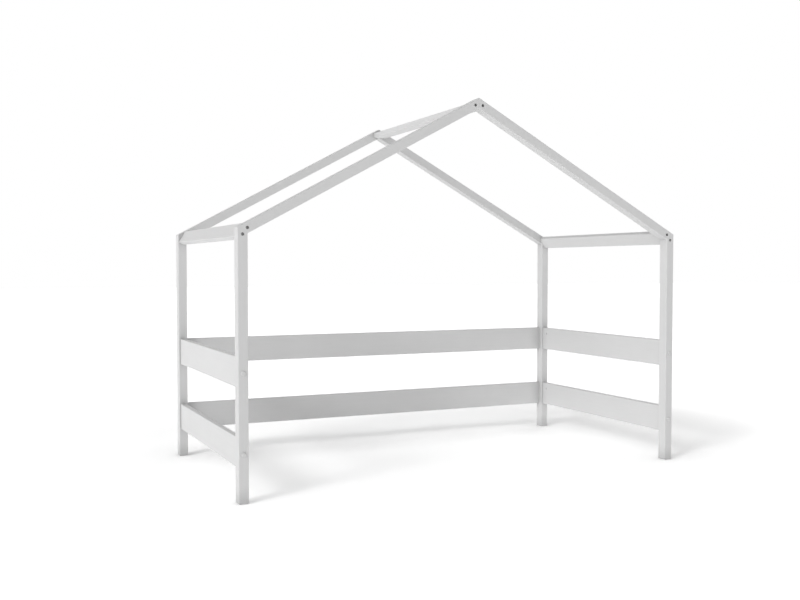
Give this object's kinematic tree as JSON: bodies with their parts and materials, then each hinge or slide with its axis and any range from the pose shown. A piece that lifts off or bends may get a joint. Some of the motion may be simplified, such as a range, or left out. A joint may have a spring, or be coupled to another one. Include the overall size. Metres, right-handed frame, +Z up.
{
  "type": "house frame bed",
  "caption": "White wooden house frame bed for a child: posts, mitred gable roof frame with ridge and eaves rails, and guard boards on both ends and the back.",
  "frame": {"origin": "on the floor, under the middle of the bed's plan", "axes": "+X along the bed's long side towards the viewer's right, +Y from the open front to the boarded back, +Z up"},
  "size_m": [1.684, 0.893, 1.3045],
  "materials": {
    "painted_wood": "satin white paint on softwood",
    "bare_beech": "bare planed beech",
    "zinc_steel": "bright zinc plate",
    "white_plastic": "moulded, soft gloss"
  },
  "bodies": {
    "root": {"post_front_left": "painted_wood", "post_front_right": "painted_wood", "post_rear_left": "painted_wood", "post_rear_right": "painted_wood", "rafter_front_left": "painted_wood", "rafter_front_right": "painted_wood", "rafter_rear_left": "painted_wood", "rafter_rear_right": "painted_wood", "ridge_rail": "painted_wood", "eaves_rail_left": "painted_wood", "eaves_rail_right": "painted_wood", "end_board_left_lower": "painted_wood", "end_board_left_upper": "painted_wood", "end_board_right_lower": "painted_wood", "end_board_right_upper": "painted_wood", "back_board_lower": "painted_wood", "back_board_upper": "painted_wood", "roof_screws": "zinc_steel", "end_board_screws": "zinc_steel", "mitre_keys": "bare_beech", "screw_caps": "white_plastic"}
  },
  "joints": []
}
